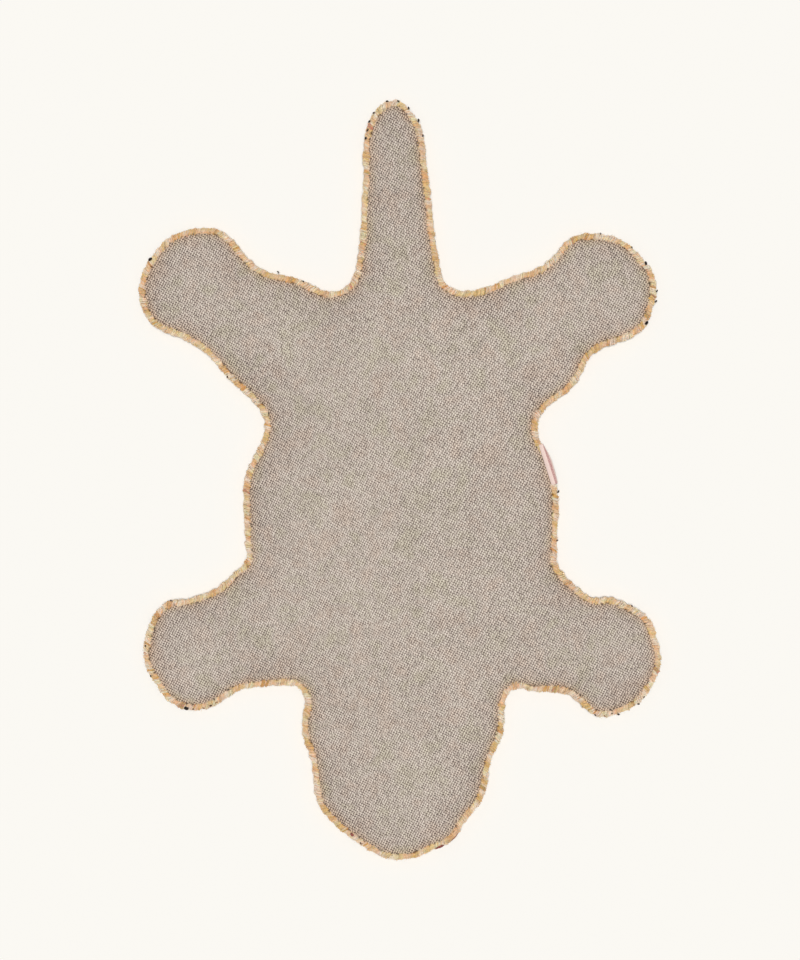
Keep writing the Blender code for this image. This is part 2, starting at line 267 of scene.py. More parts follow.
light_thread = add(tree, "ShaderNodeMath", {"operation": "MULTIPLY_ADD"},
                   {0: thread_tone.outputs["Fac"], 1: 0.1, 2: light_knot})
light_fluff = add(tree, "ShaderNodeMath", {"operation": "MULTIPLY_ADD"},
                  {0: fluff.outputs["Fac"], 1: 0.7, 2: light_thread})
by_yarn = add(tree, "ShaderNodeAttribute", {"attribute_name": "rubbed"})
# Beside the yarn the painted shade between the crowns is deeper and the crowns lighter.
contrast_by_yarn = add(tree, "ShaderNodeMath", {"operation": "MULTIPLY_ADD"},
             {0: by_yarn.outputs["Fac"], 1: 0.42, 2: 1.03})
tone_patch = add(tree, "ShaderNodeTexNoise", None,
                   {"Vector": place.outputs["Object"], "Scale": 15.0, "Detail": 1.0})
middle_tone = add(tree, "ShaderNodeMapRange", None,
                  {"Value": tone_patch.outputs["Fac"], "From Min": 0.3, "From Max": 0.7,
                   "To Min": 0.85, "To Max": 0.91})
from_mid = add(tree, "ShaderNodeMath", {"operation": "SUBTRACT"}, {0: light_fluff, 1: middle_tone})
contrast_deepened = add(tree, "ShaderNodeMath", {"operation": "MULTIPLY"}, {0: from_mid, 1: contrast_by_yarn})
shade = add(tree, "ShaderNodeMapRange", None,
            {"Value": contrast_deepened, "From Min": -0.64, "From Max": 0.63})
# Painted shade: this ramp darkens the pits between the thread crowns and lightens the crowns.
tones = add(tree, "ShaderNodeValToRGB", None, {0: shade})
set_ramp(tones, [(0.0, "#5E5550"), (0.5, "#B2A498"), (1.0, "#EDE2D6")])
blotch = add(tree, "ShaderNodeTexNoise", None,
             {"Vector": place.outputs["Object"], "Scale": 45.0, "Detail": 2.0})
tint = add(tree, "ShaderNodeValToRGB", None, {0: blotch.outputs["Fac"]})
set_ramp(tint, [(0.3, "#FFF9F5"), (0.5, "#FFFFFF"), (0.7, "#F8FAF1")])
tinted = add(tree, "ShaderNodeMix", {"data_type": "RGBA", "blend_type": "MULTIPLY"},
             {"Factor": 1.0, 6: tones, 7: tint})
# A stain and painted shade: the cloth is darker and yellower beside the yarn.
stain_and_shade = add(tree, "ShaderNodeValToRGB", None, {0: by_yarn.outputs["Fac"]})
set_ramp(stain_and_shade, [(0.0, "#FFFFFF"), (0.5, "#F5F2F1"), (0.69, "#F2EDE8"), (0.92, "#F0E1D3")])
stained_and_shaded = add(tree, "ShaderNodeVectorMath", {"operation": "MULTIPLY"},
              {0: tinted.outputs[2], 1: stain_and_shade})
relief = add(tree, "ShaderNodeBump", None, {"Height": crown, "Strength": 0.6, "Distance": 0.0004})
tree.links.new(stained_and_shaded.outputs[0], shader.inputs["Base Color"])
tree.links.new(relief.outputs[0], shader.inputs["Normal"])
shader.inputs["Roughness"].default_value = 0.95
shader.inputs["Specular IOR Level"].default_value = 0.2
backing.data.materials.append(canvas)
for face in backing.data.polygons:
    face.use_smooth = True
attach(backing, "root")
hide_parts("backing")


# Edge binding. Thick, loosely spun wool yarn overcast around the rim by machine, stitch beside
# stitch: each loop comes up over the outer edge and goes down through the backing.
# The yarn was dyed unevenly, so it runs through gold, tan, peach and pale beige.
STITCH_COUNT = 1400
STITCH_LOW = 11.0 * MM             # height of the yarn's middle at the outer edge
STITCH_RISE = 2.5 * MM
STITCH_OUTER = 1.0 * MM            # yarn's middle, in from the rim
STITCH_REACH = 8.0 * MM            # from there to the hole in the backing
STRAND_COUNT = 2
STRAND_RADIUS = 0.72 * MM
STRAND_SPREAD = 0.45 * MM          # how far a strand lies from the yarn's middle
STRAND_SIDES = 5
STRAND_RINGS = 6
STITCH_LEAN = math.radians(-23)    # the loops lean as they cross the edge
HAIR_SPOTS = 700                   # places with loose hairs
HAIRS_IN_ONE = 3
HAIR_RADIUS = 0.075 * MM
CORE_SECTION = ((2.0, 8.6), (1.5, 10.2), (1.7, 11.3), (2.4, 12.1), (3.3, 12.5), (4.3, 12.6),
                (5.6, 12.5), (6.9, 12.2), (7.0, 11.8), (4.0, 10.8))   # inset and height, mm
LABEL_MIDDLE = (171.5 * MM, 16 * MM)
LABEL_HALF = 24 * MM


def strand_rings(middle_line, radii, sides):
    """Rings of points around a line, each turned square to it."""
    ahead = np.gradient(middle_line, axis=0)
    ahead /= np.linalg.norm(ahead, axis=1)[:, None]
    rings = []
    for centre, forward, radius in zip(middle_line, ahead, radii):
        side = np.cross(forward, (1.0, 0.31, 0.17))
        side /= np.linalg.norm(side)
        up = np.cross(side, forward)
        rings.append([centre + radius * (math.cos(a) * side + math.sin(a) * up)
                      for a in np.linspace(0, 2 * math.pi, sides, endpoint=False)])
    return rings


def tube_bundle(name, lines, sides):
    """One mesh of closed tubes. A line is (points, radii, tone).

    The tone becomes the attribute "strand", and the way along each tube, 0 to 1, "along".
    """
    shape = bmesh.new()
    tone_layer = shape.verts.layers.float.new("strand")
    along_layer = shape.verts.layers.float.new("along")
    for points, radii, tone in lines:
        rings = [[shape.verts.new(p) for p in ring] for ring in strand_rings(points, radii, sides)]
        for k, ring in enumerate(rings):
            for vert in ring:
                vert[tone_layer] = tone
                vert[along_layer] = k / (len(rings) - 1)
        for low_ring, high_ring in zip(rings, rings[1:]):
            for i in range(sides):
                j = (i + 1) % sides
                shape.faces.new((low_ring[i], low_ring[j], high_ring[j], high_ring[i]))
        shape.faces.new(rings[0][::-1])
        shape.faces.new(rings[-1])
    bmesh.ops.recalc_face_normals(shape, faces=shape.faces)
    for face in shape.faces:
        face.smooth = True
    mesh = bpy.data.meshes.new(name)
    shape.to_mesh(mesh)
    shape.free()
    obj = bpy.data.objects.new(name, mesh)
    bpy.context.scene.collection.objects.link(obj)
    return obj


def whip_stitch(name, seed):
    """One loop of loose yarn: X runs along the rim, Y into the rug, Z up from the floor."""
    dice = random.Random(seed)
    turn = dice.uniform(0, 2 * math.pi)
    lines = []
    for strand in range(STRAND_COUNT):
        points, radii = [], []
        fullness = dice.uniform(0.85, 1.15)
        for k in range(STRAND_RINGS):
            share = k / (STRAND_RINGS - 1)
            round_edge = math.radians(-52 + share * (174 + 52))
            rise = abs(math.sin(round_edge)) ** 0.75 * math.copysign(1, math.sin(round_edge))
            inward = STITCH_OUTER + STITCH_REACH / 2 * (1 - math.cos(round_edge))
            twist = turn + strand * 2 * math.pi / STRAND_COUNT + share * 1.1 * math.pi
            spread = STRAND_SPREAD * (1 - 0.45 * share ** 3)
            out = 0.5 * spread * math.sin(twist)
            points.append((spread * math.cos(twist) * 1.3,
                           inward - out * math.cos(round_edge),
                           STITCH_LOW + STITCH_RISE * rise + out * math.sin(round_edge)))
            radii.append(STRAND_RADIUS * fullness * (1 - 0.35 * share ** 4)
                         * dice.uniform(0.93, 1.07))
        lines.append((np.array(points), radii, (strand + dice.random()) / STRAND_COUNT))
    return tube_bundle(name, lines, STRAND_SIDES)


def loose_hairs(name, seed):
    """A few fine hairs of wool that stand off the yarn's outside, around one place of the rim."""
    dice = random.Random(seed)
    hairs = []
    for _ in range(HAIRS_IN_ONE):
        round_edge = math.radians(dice.uniform(-35, 160))
        away = np.array((dice.uniform(-0.6, 0.6), -math.cos(round_edge), math.sin(round_edge)))
        rise = abs(math.sin(round_edge)) ** 0.75 * math.copysign(1, math.sin(round_edge))
        root = np.array((dice.uniform(-1.2, 1.2) * MM,
                         STITCH_OUTER + STITCH_REACH / 2 * (1 - math.cos(round_edge)),
                         STITCH_LOW + STITCH_RISE * rise)) + away * STRAND_RADIUS
        curl = np.array([dice.uniform(-0.5, 0.5) for _ in range(3)])
        reach = dice.uniform(0.8, 2.0) * MM
        points = np.array([root, root + away * reach * 0.6, root + (away + curl) * reach])
        hairs.append((points, [HAIR_RADIUS, HAIR_RADIUS, HAIR_RADIUS * 0.5], dice.random()))
    return tube_bundle(name, hairs, 3)


def mesh_from_nodes(obj, tree_name, settings, build):
    """Runs a Geometry Nodes tree on an object and keeps the result as a plain mesh.

    settings are the tree's named inputs with their values, and build(tree, group) adds the
    nodes between group's inputs and a geometry socket that it returns.
    """
    nodes = bpy.data.node_groups.new(tree_name, "GeometryNodeTree")
    nodes.interface.new_socket("Geometry", in_out="INPUT", socket_type="NodeSocketGeometry")
    sockets = {}
    for label, value in settings.items():
        kinds = {int: "NodeSocketInt", float: "NodeSocketFloat", tuple: "NodeSocketVector",
                 bpy.types.Material: "NodeSocketMaterial", bpy.types.Object: "NodeSocketObject"}
        sockets[label] = nodes.interface.new_socket(label, in_out="INPUT",
                                                    socket_type=kinds[type(value)])
    nodes.interface.new_socket("Geometry", in_out="OUTPUT", socket_type="NodeSocketGeometry")
    group = nodes.nodes.new("NodeGroupInput")
    finished = build(nodes, group)
    realized = add(nodes, "GeometryNodeRealizeInstances", None, {0: finished})
    painted = add(nodes, "GeometryNodeSetMaterial", None,
                  {"Geometry": realized, "Material": group.outputs["Material"]})
    add(nodes, "NodeGroupOutput", None, {0: painted})
    modifier = obj.modifiers.new(tree_name, "NODES")
    modifier.node_group = nodes
    for label, socket in sockets.items():
        modifier[socket.identifier] = settings[label]
    evaluated = obj.evaluated_get(bpy.context.evaluated_depsgraph_get())
    mesh = bpy.data.meshes.new_from_object(evaluated)
    mesh.name = obj.name
    obj.modifiers.remove(modifier)
    obj.data = mesh
    return obj


def spots_along(nodes, group, count_name):
    """Evenly spaced points on the tree's line, and the turn that lays X along it."""
    line = add(nodes, "GeometryNodeMeshToCurve", None, {0: group.outputs["Geometry"]})
    points = add(nodes, "GeometryNodeCurveToPoints", {"mode": "COUNT"},
                 {0: line, "Count": group.outputs[count_name]})
    facing = add(nodes, "FunctionNodeAlignRotationToVector", {"axis": "X", "pivot_axis": "Z"},
                 {"Vector": points.outputs["Tangent"]})
    return points, facing


def clear_of_label(nodes, group, spot):
    """True where a point doesn't lie under the label."""
    to_label = add(nodes, "ShaderNodeVectorMath", {"operation": "DISTANCE"},
                   {0: spot, 1: group.outputs["Label Middle"]})
    return add(nodes, "ShaderNodeMath", {"operation": "GREATER_THAN"},
               {0: to_label.outputs["Value"], 1: group.outputs["Label Half"]})


def one_of(nodes, group, shape_name, count, seed):
    """The named inputs' shapes, and a random pick among them for each point."""
    kinds = add(nodes, "GeometryNodeJoinGeometry")
    for k in range(count):
        shape = add(nodes, "GeometryNodeObjectInfo", {"transform_space": "ORIGINAL"},
                    {"Object": group.outputs[f"{shape_name} {k}"], "As Instance": True})
        nodes.links.new(shape.outputs["Geometry"], kinds.inputs[0])
    pick = add(nodes, "FunctionNodeRandomValue", {"data_type": "INT"}, {4: 0, 5: count - 1, "Seed": seed})
    return kinds, pick.outputs[2]


def line_object(name, points):
    """A closed line of edges on the floor, for a tree to work along."""
    mesh = bpy.data.meshes.new(name)
    mesh.from_pydata([(x, y, 0.0) for x, y in points],
                     [(i, (i + 1) % len(points)) for i in range(len(points))], [])
    obj = bpy.data.objects.new(name, mesh)
    bpy.context.scene.collection.objects.link(obj)
    return obj


def rim_body(name, section, capped):
    """A closed body around the rim, from a section of (inset, height) in mm.

    Capped, it is a slab from the section's first loop up to its last; else it is a hollow ring.
    """
    shape = bmesh.new()
    rings = [[shape.verts.new((x, y, height * MM)) for x, y in moved_in(rim, inset * MM)[::3]]
             for inset, height in section]
    walls = list(zip(rings, rings[1:])) + ([] if capped else [(rings[-1], rings[0])])
    for low_ring, high_ring in walls:
        for i in range(len(low_ring)):
            j = (i + 1) % len(low_ring)
            shape.faces.new((low_ring[i], low_ring[j], high_ring[j], high_ring[i]))
    if capped:
        for ring, side in ((rings[0], -1), (rings[-1], 1)):
            edge = [(i, (i + 1) % len(ring)) for i in range(len(ring))]
            flat = [Vector(vert.co[:2]) for vert in ring]
            _, _, faces, *_ = geometry.delaunay_2d_cdt(flat, edge, [], 1, 1e-7)
            for face in faces:
                shape.faces.new([ring[i] for i in face][::side])
    bmesh.ops.recalc_face_normals(shape, faces=shape.faces)
    mesh = bpy.data.meshes.new(name)
    shape.to_mesh(mesh)
    shape.free()
    obj = bpy.data.objects.new(name, mesh)
    bpy.context.scene.collection.objects.link(obj)
    return obj


# Loosely spun carpet wool, dyed unevenly. It gives soft matt strands, each a little lighter or
# darker than the next, that let a little light through, with a faint sheen of loose fibres and
# painted shade for needle holes at their inner ends. Painted light along each loop makes its
# outer side lighter, and its top and inner end a little darker.
carpet_wool, tree, shader = new_material("dyed_carpet_wool")
dye = add(tree, "ShaderNodeAttribute", {"attribute_name": "dye"})
strand = add(tree, "ShaderNodeAttribute", {"attribute_name": "strand"})
place = add(tree, "ShaderNodeTexCoord")
strand_key = add(tree, "ShaderNodeMath", {"operation": "MULTIPLY_ADD"},
                 {0: dye.outputs["Fac"], 1: 977.0, 2: strand.outputs["Fac"]})
own_strand = add(tree, "ShaderNodeTexWhiteNoise", {"noise_dimensions": "1D"}, {"W": strand_key})
mottle = add(tree, "ShaderNodeTexNoise", None,
             {"Vector": place.outputs["Object"], "Scale": 420.0, "Detail": 2.0})
dye_shift = add(tree, "ShaderNodeMapRange", None,
                {"Value": mottle.outputs["Fac"], "From Min": 0.3, "From Max": 0.7,
                 "To Min": -0.06, "To Max": 0.06})
dye_mottled = add(tree, "ShaderNodeMath", {"operation": "ADD"},
                  {0: dye.outputs["Fac"], 1: dye_shift})
wool_tones = add(tree, "ShaderNodeValToRGB", None, {0: dye_mottled})
set_ramp(wool_tones, [(0.0, "#EFDCCC"), (0.18, "#EED7C3"), (0.36, "#ECCFB6"), (0.5, "#E9C8A8"),
                      (0.64, "#E6C19C"), (0.8, "#DEB482"), (0.86, "#D7A864"), (0.92, "#DDA372"),
                      (0.96, "#B6AA75"), (1.0, "#D08C80")])
warmth = add(tree, "ShaderNodeTexNoise", None,
             {"Vector": place.outputs["Object"], "Scale": 110.0, "Detail": 1.0})
cast = add(tree, "ShaderNodeValToRGB", None, {0: warmth.outputs["Fac"]})
set_ramp(cast, [(0.36, "#FFF3F0"), (0.5, "#FFFDF9"), (0.64, "#F7FAE2")])
casted = add(tree, "ShaderNodeVectorMath", {"operation": "MULTIPLY"}, {0: wool_tones, 1: cast})
on_stitch = add(tree, "ShaderNodeAttribute", {"attribute_name": "along"})
# Painted light and shade along each loop: lighter on the outer side, a little darker over the top and at
# the inner end.
painted_light_along = add(tree, "ShaderNodeValToRGB", None, {0: on_stitch.outputs["Fac"]})
set_ramp(painted_light_along, [(0.26, "#FFF8EC"), (0.36, "#F2EEE9"), (0.54, "#E2E2DF"), (0.78, "#EDE7DD"),
                      (1.0, "#DDCFBE")])
shaded = add(tree, "ShaderNodeVectorMath", {"operation": "MULTIPLY"}, {0: casted, 1: painted_light_along})
depth = add(tree, "ShaderNodeMapRange", None,
            {"Value": own_strand.outputs["Value"], "To Min": 0.78, "To Max": 1.08})
bits = add(tree, "ShaderNodeTexNoise", None,
           {"Vector": place.outputs["Object"], "Scale": 650.0, "Detail": 0.0})
broken = add(tree, "ShaderNodeMapRange", None,
             {"Value": bits.outputs["Fac"], "From Min": 0.3, "From Max": 0.7,
              "To Min": 1.26, "To Max": 1.51})
depth_broken = add(tree, "ShaderNodeMath", {"operation": "MULTIPLY"}, {0: depth, 1: broken})
# Painted shade for needle holes and pits at the yarn's inner ends.
foot = add(tree, "ShaderNodeMapRange", None,
           {"Value": on_stitch.outputs["Fac"], "From Min": 0.66, "From Max": 0.84})
holes = add(tree, "ShaderNodeTexNoise", None,
            {"Vector": place.outputs["Object"], "Scale": 210.0, "Detail": 0.0})
in_hole = add(tree, "ShaderNodeMapRange", None,
              {"Value": holes.outputs["Fac"], "From Min": 0.56, "From Max": 0.63})
hole_shade = add(tree, "ShaderNodeMath", {"operation": "MULTIPLY"}, {0: foot, 1: in_hole})
wool = add(tree, "ShaderNodeVectorMath", {"operation": "MULTIPLY"}, {0: shaded, 1: depth_broken})
holed = add(tree, "ShaderNodeMix", {"data_type": "RGBA", "blend_type": "MULTIPLY"},
            {"Factor": hole_shade, 6: wool, 7: linear("#30241B")})
fibre = add(tree, "ShaderNodeTexNoise", None,
            {"Vector": place.outputs["Object"], "Scale": 1900.0, "Detail": 2.0})
fibre_relief = add(tree, "ShaderNodeBump", None,
                   {"Height": fibre.outputs["Fac"], "Strength": 0.5, "Distance": 0.0004})
tree.links.new(holed.outputs[2], shader.inputs["Base Color"])
tree.links.new(fibre_relief.outputs[0], shader.inputs["Normal"])
shader.inputs["Roughness"].default_value = 0.95
shader.inputs["Specular IOR Level"].default_value = 0.15
shader.inputs["Sheen Weight"].default_value = 0.4
shader.inputs["Sheen Roughness"].default_value = 0.6
shader.inputs["Sheen Tint"].default_value = linear("#FFE6C8")
shader.inputs["Subsurface Weight"].default_value = 0.5
shader.inputs["Subsurface Radius"].default_value = (1.0, 0.75, 0.6)
shader.inputs["Subsurface Scale"].default_value = 1.5 * MM

stitch_shapes = [whip_stitch(f"stitch_{k}", seed=40 + k) for k in range(4)]


def overcast(nodes, group):
    """Stitches stood side by side along the rim, none of them under the label."""
    points, facing = spots_along(nodes, group, "Stitches")
    spot = add(nodes, "GeometryNodeInputPosition")
    clear = clear_of_label(nodes, group, spot)
    patches = add(nodes, "ShaderNodeTexNoise", None, {"Vector": spot, "Scale": 105.0, "Detail": 0.0})
    patch_dye = add(nodes, "ShaderNodeMapRange", None,
                    {"Value": patches.outputs["Fac"], "From Min": 0.36, "From Max": 0.66,
                     "To Min": 0.0, "To Max": 0.74})
    own = add(nodes, "FunctionNodeRandomValue", {"data_type": "FLOAT"},
              {2: 0.0, 3: 0.05, "Seed": group.outputs["Seed"]})
    plain_dye = add(nodes, "ShaderNodeMath", {"operation": "ADD"}, {0: patch_dye, 1: own.outputs[1]})
    fleck_kind = add(nodes, "ShaderNodeTexNoise", None, {"Vector": spot, "Scale": 60.0, "Detail": 0.0})
    fleck_dye = add(nodes, "ShaderNodeMapRange", None,
                    {"Value": fleck_kind.outputs["Fac"], "From Min": 0.3, "From Max": 0.7,
                     "To Min": 0.84, "To Max": 1.0})
    elsewhere = add(nodes, "ShaderNodeVectorMath", {"operation": "ADD"}, {0: spot, 1: (5, 9, 2)})
    chance = add(nodes, "ShaderNodeTexNoise", None, {"Vector": elsewhere, "Scale": 170.0, "Detail": 0.0})
    is_fleck = add(nodes, "ShaderNodeMath", {"operation": "GREATER_THAN"},
                   {0: chance.outputs["Fac"], 1: group.outputs["Fleck Height"]})
    dye_value = add(nodes, "ShaderNodeMix", {"data_type": "FLOAT"},
                    {0: is_fleck, 2: plain_dye, 3: fleck_dye})
    dyed = add(nodes, "GeometryNodeStoreNamedAttribute", {"data_type": "FLOAT", "domain": "POINT"},
               {0: points, "Name": "dye", "Value": dye_value})
    lean = add(nodes, "FunctionNodeRandomValue", {"data_type": "FLOAT"},
               {2: STITCH_LEAN - 0.16, 3: STITCH_LEAN + 0.16, "Seed": 3})
    lean_turn = add(nodes, "ShaderNodeCombineXYZ", None, {"Z": lean.outputs[1]})
    leaning = add(nodes, "FunctionNodeRotateRotation", {"rotation_space": "LOCAL"},
                  {0: facing, 1: add(nodes, "FunctionNodeEulerToRotation", None, {0: lean_turn})})
    lumps = add(nodes, "ShaderNodeTexNoise", None, {"Vector": spot, "Scale": 125.0, "Detail": 1.0})
    lumpy = add(nodes, "ShaderNodeMapRange", {"data_type": "FLOAT_VECTOR"},
                {"Vector": lumps.outputs["Fac"], 7: (0.33,) * 3, 8: (0.67,) * 3,
                 9: (1.0, 0.88, 0.9), 10: (1.15, 1.12, 1.06)})
    own_size = add(nodes, "FunctionNodeRandomValue", {"data_type": "FLOAT_VECTOR"},
                   {0: (0.9, 0.98, 0.98), 1: (1.2, 1.03, 1.02), "Seed": 9})
    size = add(nodes, "ShaderNodeVectorMath", {"operation": "MULTIPLY"},
               {0: lumpy.outputs["Vector"], 1: own_size.outputs[0]})
    kinds, pick = one_of(nodes, group, "Stitch", len(stitch_shapes), seed=21)
    bulge = add(nodes, "ShaderNodeMapRange", {"data_type": "FLOAT_VECTOR"},
                {"Vector": lumps.outputs["Fac"], 7: (0.33,) * 3, 8: (0.67,) * 3,
                 9: (0.0, 0.8 * MM, 0.0), 10: (0.0, -1.0 * MM, 0.0)})
    stitches = add(nodes, "GeometryNodeInstanceOnPoints", None,
                   {"Points": dyed, "Selection": clear, "Instance": kinds, "Pick Instance": True,
                    "Instance Index": pick, "Rotation": leaning, "Scale": size})
    slack = add(nodes, "FunctionNodeRandomValue", {"data_type": "FLOAT_VECTOR"},
                {0: (-0.4 * MM, -0.1 * MM, -0.15 * MM), 1: (0.4 * MM, 0.25 * MM, 0.2 * MM),
                 "Seed": 14})
    shift = add(nodes, "ShaderNodeVectorMath", {"operation": "ADD"},
                {0: slack.outputs[0], 1: bulge.outputs["Vector"]})
    return add(nodes, "GeometryNodeTranslateInstances", None,
               {0: stitches, "Translation": shift, "Local Space": True})


binding = mesh_from_nodes(
    line_object("binding_yarn", rim), "overcast_edge",
    {"Material": carpet_wool, "Stitches": STITCH_COUNT, "Seed": 5, "Fleck Height": 0.68,
     "Label Middle": (*LABEL_MIDDLE, 0.0), "Label Half": LABEL_HALF - 1.0 * MM,
     "Stitch 0": stitch_shapes[0], "Stitch 1": stitch_shapes[1],
     "Stitch 2": stitch_shapes[2], "Stitch 3": stitch_shapes[3]}, overcast)
hair_shapes = [loose_hairs(f"hairs_{k}", seed=90 + k) for k in range(4)]


def hairy(nodes, group):
    """Loose hairs strewn along the binding."""
    points, facing = spots_along(nodes, group, "Spots")
    spot = add(nodes, "GeometryNodeInputPosition")
    clear = clear_of_label(nodes, group, spot)
    shade_here = add(nodes, "FunctionNodeRandomValue", {"data_type": "FLOAT"},
                     {2: 0.0, 3: 0.7, "Seed": group.outputs["Seed"]})
    dyed = add(nodes, "GeometryNodeStoreNamedAttribute", {"data_type": "FLOAT", "domain": "POINT"},
               {0: points, "Name": "dye", "Value": shade_here.outputs[1]})
    kinds, pick = one_of(nodes, group, "Hairs", len(hair_shapes), seed=33)
    return add(nodes, "GeometryNodeInstanceOnPoints", None,
               {"Points": dyed, "Selection": clear, "Instance": kinds, "Pick Instance": True,
                "Instance Index": pick, "Rotation": facing})


binding_hairs = mesh_from_nodes(
    line_object("binding_hairs", rim), "loose_hairs",
    {"Material": carpet_wool, "Spots": HAIR_SPOTS, "Seed": 6,
     "Label Middle": (*LABEL_MIDDLE, 0.0), "Label Half": LABEL_HALF,
     "Hairs 0": hair_shapes[0], "Hairs 1": hair_shapes[1],
     "Hairs 2": hair_shapes[2], "Hairs 3": hair_shapes[3]}, hairy)
for shape in stitch_shapes + hair_shapes:
    bpy.data.objects.remove(shape, do_unlink=True)
binding_core = rim_body("binding_core", CORE_SECTION, capped=False)
for name, value in (("dye", 0.55), ("strand", 0.5), ("along", 0.5)):
    layer = binding_core.data.attributes.new(name, "FLOAT", "POINT")
    layer.data.foreach_set("value", [value] * len(binding_core.data.vertices))
binding_core.data.materials.append(carpet_wool)
for face in binding_core.data.polygons:
    face.use_smooth = True
for piece in (binding, binding_core, binding_hairs):
    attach(piece, "root")
    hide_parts("edge_binding")


# Pile. Cut wool yarn, tufted through the foundation cloth and standing on the floor, so that
# only the tips at its rim are seen. They are dark brown at the paws, tail and muzzle, else tan.
PILE_BED_SECTION = ((5.2, 0.0), (4.2, 2.0), (4.2, 11.0))     # inset and height, mm
TUFT_STRANDS = 3
TUFT_RADIUS = 0.72 * MM
TUFT_SPREAD = 0.75 * MM
TUFT_ROWS = ((2.6 * MM, 1200, 3), (4.6 * MM, 450, 8))   # inset of a row, its tufts and its seed
DARK_ZONES = ((275, 235, 75), (-275, 235, 75), (262, -215, 75), (-262, -215, 75),
              (-8, 408, 42), (56, -412, 16), (-50, -412, 14))   # X, Y and radius in mm
# Single tips of yarn that poke out past the binding: X and Y in mm, thickness in mm, shade.
# The places are those of dark spots that were measured on the picture of the real rug.
PEEPING_TIPS = (
    (283, 180, 1.8, 0.02), (-245, -262, 2.1, 0.02), (282, 249, 1.5, 0.1), (-287, 253, 1.7, 0.1),
    (294, 205, 1.0, 0.2), (-292, -190, 1.1, 0.15), (295, 217, 0.9, 0.2), (-111, 228, 0.9, 0.25),
    (-217, -259, 1.2, 0.35), (251, -269, 1.0, 0.2), (-39.5, 392, 1.3, 0.15), (-37.5, 401, 1.2, 0.2),
    (-35.5, 411, 1.2, 0.2), (-198, 118, 0.9, 0.25), (274, -257, 0.9, 0.25), (-55, -407, 1.7, 0.5),
    (-286, -225, 0.9, 0.2), (-210, -255, 0.9, 0.6), (-15, 434.5, 1.1, 0.2), (-2, 434.5, 1.1, 0.2),
    (266, -144, 0.8, 0.3), (182, -13, 1.0, 0.15), (-140, 239, 0.8, 0.25), (21.5, 413, 1.1, 0.2),
    (266, 267, 0.8, 0.3), (181, -69, 0.7, 0.35), (-263, -138, 0.8, 0.3), (224, -270, 0.8, 0.3),
    (280, -249, 0.8, 0.3), (-237, -263, 0.8, 0.2), (230, 283, 0.7, 0.3),
    (26.5, 395, 1.0, 0.25), (10, 427, 1.0, 0.25), (-173, 251, 0.7, 0.35), (243, -268, 0.8, 0.3),
    (235, -271, 0.8, 0.6), (-30.5, 421, 1.0, 0.25), (-225, -262, 0.8, 0.6), (-45, -417, 0.8, 0.3),
    (205, -252, 0.7, 0.35))
# Ends of yarn that lie along the rim: X and Y of both ends, thickness in mm, and shade.
# The second one is a dark line at the binding's outer edge: partly dark pile, partly the binding's shadow
# painted as dark yarn.
LYING_TIPS = (((39.5, -423.2), (50.8, -418.8), 1.5, 0.5), ((58, -415), (67, -405), 0.5, 0.48))


def cut_tuft(name, seed):
    """One tuft of cut yarn: Y into the rug, from the foundation down to the floor."""
    dice = random.Random(seed)
    strands = []
    for k in range(TUFT_STRANDS):
        turn = (k + dice.random()) * 2 * math.pi / TUFT_STRANDS
        sway, end = dice.uniform(-0.7, 0.7) * MM, dice.uniform(0.3, 1.3) * MM
        line = []
        for height, inward, spread in ((9.6, 1.5, 0.7), (7.0, 0.4, 0.9), (4.0, 0.0, 1.1),
                                       (1.8, 0.1, 1.4), (0.0, 0.3, 1.5)):
            share = 1 - height / 9.6
            line.append((TUFT_SPREAD * spread * math.cos(turn + share) + sway * share,
                         inward * MM + 0.7 * TUFT_SPREAD * spread * math.sin(turn + share),
                         max(height * MM, end)))
        radii = [TUFT_RADIUS * r * dice.uniform(0.9, 1.1) for r in (0.8, 1.0, 1.05, 1.1, 0.7)]
        strands.append((np.array(line), radii, dice.random()))
    return tube_bundle(name, strands, 4)


# Cut wool pile. It gives matt, soft ends of yarn, with colour from each tuft and painted
# shade between them; the underside is closely packed round ends.
cut_wool, tree, shader = new_material("cut_wool_pile")
dye = add(tree, "ShaderNodeAttribute", {"attribute_name": "dye"})
place = add(tree, "ShaderNodeTexCoord")
ends = add(tree, "ShaderNodeTexVoronoi", None, {"Vector": place.outputs["Object"], "Scale": 320.0})
mottle = add(tree, "ShaderNodeTexNoise", None,
             {"Vector": place.outputs["Object"], "Scale": 260.0, "Detail": 3.0})
strand = add(tree, "ShaderNodeAttribute", {"attribute_name": "strand"})
mottled = add(tree, "ShaderNodeMath", {"operation": "MULTIPLY_ADD"},
              {0: mottle.outputs["Fac"], 1: 0.12, 2: dye.outputs["Fac"]})
pile_shade = add(tree, "ShaderNodeMath", {"operation": "MULTIPLY_ADD"},
                 {0: strand.outputs["Fac"], 1: 0.08, 2: mottled})
pile_tones = add(tree, "ShaderNodeValToRGB", None, {0: pile_shade})
set_ramp(pile_tones, [(0.0, "#1E1A18"), (0.3, "#4A3B33"), (0.52, "#7D5A45"), (0.62, "#B0645A"),
                      (0.8, "#C49A66"), (1.0, "#DDBB8C")])
# Painted shade between the round yarn ends.
pit_shade = add(tree, "ShaderNodeMapRange", None,
          {"Value": ends.outputs["Distance"], "From Max": 0.75, "To Min": 1.0, "To Max": 0.6})
pile_colour = add(tree, "ShaderNodeVectorMath", {"operation": "MULTIPLY"}, {0: pile_tones, 1: pit_shade})
end_relief = add(tree, "ShaderNodeBump", {"invert": True},
                 {"Height": ends.outputs["Distance"], "Strength": 0.7, "Distance": 0.001})
tree.links.new(pile_colour.outputs[0], shader.inputs["Base Color"])
tree.links.new(end_relief.outputs[0], shader.inputs["Normal"])
shader.inputs["Roughness"].default_value = 1.0
shader.inputs["Specular IOR Level"].default_value = 0.1
shader.inputs["Sheen Weight"].default_value = 0.2

